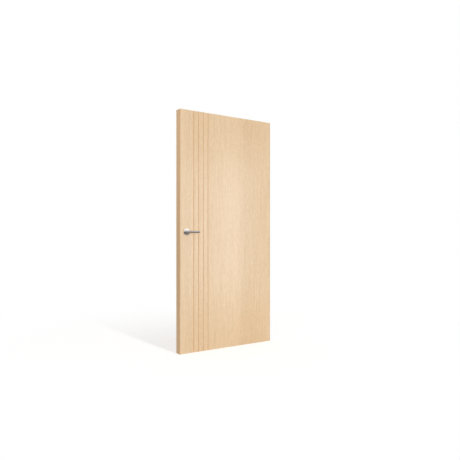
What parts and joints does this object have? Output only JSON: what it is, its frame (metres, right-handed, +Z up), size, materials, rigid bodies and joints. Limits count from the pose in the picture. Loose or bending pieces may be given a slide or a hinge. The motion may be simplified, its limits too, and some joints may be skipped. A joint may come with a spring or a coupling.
{
  "type": "interior door",
  "caption": "Flush interior door leaf in pale wood veneer with upright grooves, a lever handle on round roses and butt hinges on its hidden edge, free to swing on their pins.",
  "frame": {"origin": "middle of the screw holes of the middle hinge's frame plate, on its flat face against the jamb", "axes": "+X from the leaf to the jamb, +Y from the front face to the back face, +Z up"},
  "size_m": [0.9675, 0.186, 2.097],
  "materials": {
    "veneer": "matt lacquered pale veneer",
    "lipping": "matt lacquered solid wood",
    "inner_timber": "sawn softwood",
    "core": "raw particle board",
    "handle_steel": "satin",
    "hinge_steel": "satin",
    "zinc_steel": "zinc plated"
  },
  "bodies": {
    "jamb_plates": {"top_hinge_frame_plate": "hinge_steel", "top_hinge_pin": "hinge_steel", "middle_hinge_frame_plate": "hinge_steel", "middle_hinge_pin": "hinge_steel", "bottom_hinge_frame_plate": "hinge_steel", "bottom_hinge_pin": "hinge_steel"},
    "leaf": {"front_skin": "veneer", "back_skin": "veneer", "latch_lipping": "lipping", "hinge_lipping": "lipping", "latch_stile": "inner_timber", "hinge_stile": "inner_timber", "top_rail": "inner_timber", "bottom_rail": "inner_timber", "core_board": "core", "front_rose": "handle_steel", "front_rose_base": "zinc_steel", "back_rose": "handle_steel", "back_rose_base": "zinc_steel", "rose_bolts": "zinc_steel", "top_hinge_leaf_plate": "hinge_steel", "top_hinge_screws": "hinge_steel", "middle_hinge_leaf_plate": "hinge_steel", "middle_hinge_screws": "hinge_steel", "bottom_hinge_leaf_plate": "hinge_steel", "bottom_hinge_screws": "hinge_steel"},
    "handle": {"front_lever": "handle_steel", "front_grub_screw": "zinc_steel", "back_lever": "handle_steel", "back_grub_screw": "zinc_steel", "spindle": "zinc_steel"}
  },
  "joints": [
    {"name": "leaf_swing", "type": "hinge", "parent": "jamb_plates", "child": "leaf", "pos_m": [-0.0045, 0.026, 0], "axis": [0, 0, -1], "range_deg": [0, 170]},
    {"name": "lever_turn", "type": "hinge", "parent": "leaf", "child": "handle", "pos_m": [-0.901, -0.017, -0.0325], "axis": [0, 1, 0], "range_deg": [0, 45], "stiffness_Nm_per_rad": 1, "springref_deg": -28.65}
  ]
}
